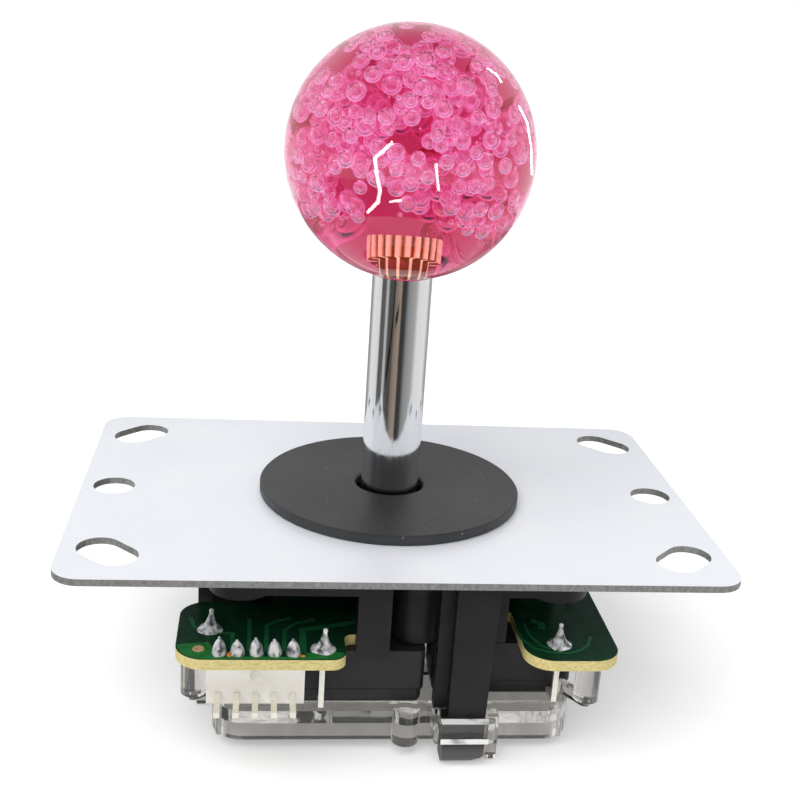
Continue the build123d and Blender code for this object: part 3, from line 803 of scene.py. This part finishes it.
def make_via(top):
    """The bare ring of a small plated hole."""
    points, faces = lathe([(r * mm, z * mm) for r, z in via_profile], via_segments)
    points = [(x + via_place[0] * mm, y + via_place[1] * mm, z + top) for x, y, z in points]
    make_piece("board_via", points, faces, via_metal(), "base", "pin_tin")


def make_copper():
    """All the copper on the board's upper face."""
    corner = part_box("circuit_board")[1]
    base, top = corner[2] - trace_lift, corner[2] + trace_lift
    make_traces(base, top)
    make_pour(corner[0], base, top)
    make_via(top)


def make_flux():
    """Low amber drops left beside two of the joints."""
    board_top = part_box("circuit_board")[1][2]
    drop, faces = lathe([(r, h * flux_height) for r, h in flux_profile], flux_segments)
    parts = []
    for x, y, wide, deep in flux_places:
        points = [((x + wide * a) * mm, (y + deep * b) * mm, board_top + c * mm) for a, b, c in drop]
        parts.append((points, faces))
    make_piece("board_flux", *joined(parts), flux_resin(), "base", "solder")


def settled(points, middle, foot, lean, phase):
    """A turned cone set down on its joint, leaning and slightly out of round."""
    shaped = []
    for x, y, z in points:
        angle = math.atan2(y, x)
        bulges = [share * math.sin(waves * angle + way * phase) for share, waves, way in solder_swells]
        swell = 1 + sum(bulges)
        shaped.append((middle.x + swell * x + lean.x * z, middle.y + swell * y + lean.y * z, foot + z))
    return shaped


def make_solder():
    """Cones of solder with the pin's rounded end on top, no two alike."""
    draw = random.Random(solder_seed)
    parts = []
    for low, high in islands("solder_joints"):
        radius = (high.x - low.x) / 2
        large = radius > solder_large_r
        profile = solder_large if large else solder_small
        height = (solder_large_height if large else solder_small_height) * draw.uniform(*solder_heights)
        lean = Vector([draw.uniform(-solder_lean, solder_lean) for _ in range(2)])
        phase = draw.uniform(0, solder_phase)
        points, faces = lathe([(r * radius, h * height) for r, h in profile], solder_segments)
        parts.append((settled(points, (low + high) / 2, low.z, lean, phase), faces))
    solder = make_piece("solder_cones", *joined(parts), solder_metal(), "base", "solder", solder_crease)
    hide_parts("solder_joints")


# Gate: painted highlights on the edges of the clear plastic
def make_gleams():
    """Painted highlights: a bright skin on the top and the lower front of each bar, at its four quarter
    turns.
    """
    (left, right), (front, back), (low, high) = bar_x, bar_y, bar_z
    flats = [
        ((left, right), (front, back), (high, high + bar_skin)),
        ((left, right), (front - bar_skin, front), (low, low + bar_gleam)),
    ]
    parts = []
    for quarter in range(4):
        turn = Matrix.Rotation(math.radians(90 * quarter), 3, "Z")
        for (x0, x1), (y0, y1), (z0, z1) in flats:
            points, faces = prism([(x0, y0), (x1, y0), (x1, y1), (x0, y1)], z0, z1)
            parts.append(([turn @ (Vector(point) * mm) for point in points], faces))
    make_piece("gate_gleams", *joined(parts), painted_gleam_plastic(), "base", "clear_plastic")


# Stage: floor, screens that show only in reflections, sun, world and camera
def make_floor():
    """A white floor, lifted a little where it is seen so that it meets the white behind."""
    half = floor_half
    z = cad_box[0][2]
    points = [(-half, -half, z), (half, -half, z), (half, half, z), (-half, half, z)]
    made, tree, shader = start("floor", (0.88, 0.88, 0.88), 0.9)
    mottled(tree, shader, 200 * mm, 2, (0.87, 0.87, 0.87), (0.89, 0.89, 0.89))
    shader.inputs["Specular IOR Level"].default_value = 0.0
    shader.inputs["Emission Color"].default_value = (1, 1, 1, 1)
    lift = maths(tree, "MULTIPLY", seen_directly(tree), floor_lift)
    tree.links.new(lift, shader.inputs["Emission Strength"])
    make_piece("floor", points, [(0, 1, 2, 3)], made, None)


def seen_directly(tree):
    """1 for rays from the camera, a mirror or clear plastic."""
    path = add(tree, "ShaderNodeLightPath").outputs
    first = maths(tree, "MAXIMUM", path["Is Camera Ray"], path["Is Glossy Ray"])
    return maths(tree, "MAXIMUM", first, path["Is Transmission Ray"])


def screen_material(name):
    """A material that shows only by the light it gives."""
    made, tree, shader = start(name, (0, 0, 0), 1.0)
    shader.inputs["Specular IOR Level"].default_value = 0.0
    shader.inputs["Emission Color"].default_value = (1, 1, 1, 1)
    shader.inputs["Emission Strength"].default_value = 1.0
    return made, tree, shader


def make_screen(name, points, faces, material):
    """A screen that shows only in reflections."""
    screen = make_piece(name, points, faces, material, None)
    screen.visible_camera = False
    screen.visible_diffuse = False
    screen.visible_transmission = False
    screen.visible_shadow = False


def room_material():
    """Bands of tone round the axis."""
    made, tree, shader = screen_material("room")
    at = axes(tree)
    turn = maths(tree, "ARCTAN2", at["X"], maths(tree, "MULTIPLY", at["Y"], -1.0))
    first, last = room_bands[0][0], room_bands[-1][0]
    along = mapped(tree, turn, 0.0, 1.0, math.radians(first), math.radians(last))
    tones = [((angle - first) / (last - first), tone) for angle, tone in room_bands]
    tree.links.new(ramp(tree, along, *tones), shader.inputs["Emission Color"])
    return made


def make_room():
    """A low screen all round with the tones of a room."""
    first, last = room_bands[0][0], room_bands[-1][0]
    points = []
    for i in range(room_steps + 1):
        turned = first + (last - first) * i / room_steps
        top = room_top if abs(turned) < room_front else room_back_top
        angle = math.radians(turned)
        x, y = room_radius * math.sin(angle), -room_radius * math.cos(angle)
        points += [(x, y, cad_box[0][2]), (x, y, top)]
    faces = [(2 * i, 2 * i + 2, 2 * i + 3, 2 * i + 1) for i in range(room_steps)]
    make_screen("room", points, faces, room_material())


def make_sun():
    """A wide, even light from high on the left."""
    data = bpy.data.lights.new("sun", "SUN")
    data.energy = sun_strength
    data.angle = math.radians(sun_spread)
    lamp = bpy.data.objects.new("sun", data)
    lamp.location = sun_place
    lamp.rotation_euler = Vector(sun_place).to_track_quat("Z", "Y").to_euler()
    lamp.visible_glossy = False
    bpy.context.scene.collection.objects.link(lamp)


def mirrored(pixel, centre, radius):
    """The place, off the ball, that shows on it at this point of the picture."""
    across = (pixel.x - picture_px / 2) / focal_px
    down = (pixel.y - picture_px / 2) / focal_px
    ray = (camera_turn() @ Vector((across, -down, -1, 0))).to_3d().normalized()
    begin = camera_place - centre
    near = begin.dot(ray)
    before = -near - math.sqrt(near**2 - begin.length_squared + radius**2)
    hit = begin + before * ray
    return centre + hit + (begin.length + glint_distance - before) * ray.reflect(hit.normalized())


def fine_path(path):
    """A path in the picture, cut into short steps."""
    fine = []
    for (x0, y0), (x1, y1) in zip(path, path[1:]):
        steps = max(2, round(math.hypot(x1 - x0, y1 - y0) / glint_step))
        fine += [Vector((x0 + (x1 - x0) * i / steps, y0 + (y1 - y0) * i / steps)) for i in range(steps)]
    return fine + [Vector(path[-1])]


def window_material():
    """Bright only for rays that meet it squarely."""
    made, tree, shader = screen_material("window")
    facing = add(tree, "ShaderNodeLayerWeight", {"Blend": 0.5}).outputs["Facing"]
    glow = mapped(tree, facing, glint_strength, 0.0, glint_full, glint_end)
    tree.links.new(glow, shader.inputs["Emission Strength"])
    return made


def make_glints():
    """Bright strips where a window would be to show in the ball."""
    centre, radius, _ = ball_frame()
    parts = []
    for path, width in glints:
        fine = fine_path(path)
        outline = [mirrored(point, centre, radius) for point in offset_outline(fine, width / 2)]
        last = len(outline) - 1
        faces = [(i, i + 1, last - 1 - i, last - i) for i in range(len(fine) - 1)]
        parts.append((outline, faces))
    make_screen("window", *joined(parts), window_material())


def make_world():
    """White behind the object and through clear pieces; for mirrors, darker in front and overhead."""
    world = bpy.data.worlds.new("studio")
    world.use_nodes = True
    tree = world.node_tree
    sky = tree.nodes["Background"]
    sky.inputs["Color"].default_value = (1, 1, 1, 1)
    toward = axes(tree, add(tree, "ShaderNodeTexCoord").outputs["Generated"])
    back = mapped(tree, toward["Y"], front_tone, 1.0, *front_fade)
    ceiling = mapped(tree, toward["Z"], 1.0, ceiling_tone, *ceiling_fade)
    room = maths(tree, "MULTIPLY", back, ceiling)
    path = add(tree, "ShaderNodeLightPath").outputs
    mirror = maths(tree, "GREATER_THAN", path["Is Glossy Ray"], path["Is Transmission Ray"])
    plain = mapped(tree, seen_directly(tree), world_light, 1.0, 0.0, 1.0)
    plain = maths(tree, "MULTIPLY_ADD", path["Is Transmission Ray"], through_lift, plain)
    tree.links.new(between(tree, mirror, plain, room), sky.inputs["Strength"])
    bpy.context.scene.world = world


def camera_turn():
    """The camera's rotation."""
    turn = Matrix.Rotation(math.radians(camera_yaw), 4, "Z")
    turn = turn @ Matrix.Rotation(math.radians(camera_tilt), 4, "X")
    return turn @ Matrix.Rotation(math.radians(camera_roll), 4, "Z")


def make_camera():
    """The camera that sees the object as the picture does."""
    data = bpy.data.cameras.new("camera")
    data.sensor_width = sensor_width
    data.lens = sensor_width * focal_px / picture_px
    data.clip_start = near_clip
    camera = bpy.data.objects.new("camera", data)
    camera.matrix_world = Matrix.Translation(camera_place) @ camera_turn()
    bpy.context.scene.collection.objects.link(camera)
    bpy.context.scene.camera = camera


# Finish the CAD pieces that keep their shape
def paint_nodes():
    """Every CAD node's own material, in all its slots."""
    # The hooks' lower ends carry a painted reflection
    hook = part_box("main_body")[0][2] + painted_sheen_height
    black = black_plastic("black_plastic", (0.010, 0.010, 0.011), (0.016, 0.016, 0.017), 0.46, tip=hook)
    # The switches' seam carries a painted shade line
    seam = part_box("switch_cover_front")[1][2]
    switch_black = black_plastic("switch_plastic", (0.016, 0.016, 0.017), (0.024, 0.023, 0.024), 0.40, seam)
    tinned = tinned_metal()
    spring = steel("spring_steel", (0.40, 0.40, 0.41), (0.62, 0.62, 0.63), 0.3)
    button = pale_plastic("plunger_plastic", (0.62, 0.60, 0.54), (0.74, 0.72, 0.66), 0.4)
    finish = {
        "mounting_plate": zinc(),
        "plate_screws": steel("screw_steel", (0.50, 0.50, 0.51), (0.72, 0.72, 0.73), 0.3),
        "dust_washer": washer_plastic(),
        "main_body": black,
        "circuit_board": board_material(),
        "connector_housing": pale_plastic("header_plastic", (0.77, 0.74, 0.68), (0.87, 0.84, 0.79), 0.45),
        "connector_pins": tinned,
        "restrictor_gate": clear_plastic(),
        "lever_shaft": chrome(),
        "pivot": pale_plastic("pivot_plastic", (0.78, 0.78, 0.75), (0.88, 0.88, 0.86), 0.35),
        "centring_spring": spring,
        "spring_seat": spring,
        "actuator": black_plastic("actuator_plastic", (0.018, 0.018, 0.019), (0.028, 0.028, 0.03), 0.35),
        "retaining_clip": steel("clip_steel", (0.16, 0.16, 0.17), (0.30, 0.30, 0.31), 0.4),
        "ball_insert": brass(),
    }
    for side in sides:
        finish[f"switch_case_{side}"] = switch_black
        finish[f"switch_cover_{side}"] = switch_black
        finish[f"switch_plunger_{side}"] = button
        finish[f"switch_terminals_{side}"] = tinned
    for node, material in finish.items():
        for slot in nodes[node].material_slots:
            slot.material = material


paint_nodes()
make_ball()
make_copper()
make_flux()
make_solder()
make_gleams()
make_floor()
make_room()
make_glints()
make_sun()
make_world()
make_camera()
# Light crosses many bubble walls on its way through the ball
for light_path in ("max_bounces", "transmission_bounces", "transparent_max_bounces", "glossy_bounces"):
    setattr(bpy.context.scene.cycles, light_path, light_bounces)
bpy.context.scene.view_settings.view_transform = "Standard"
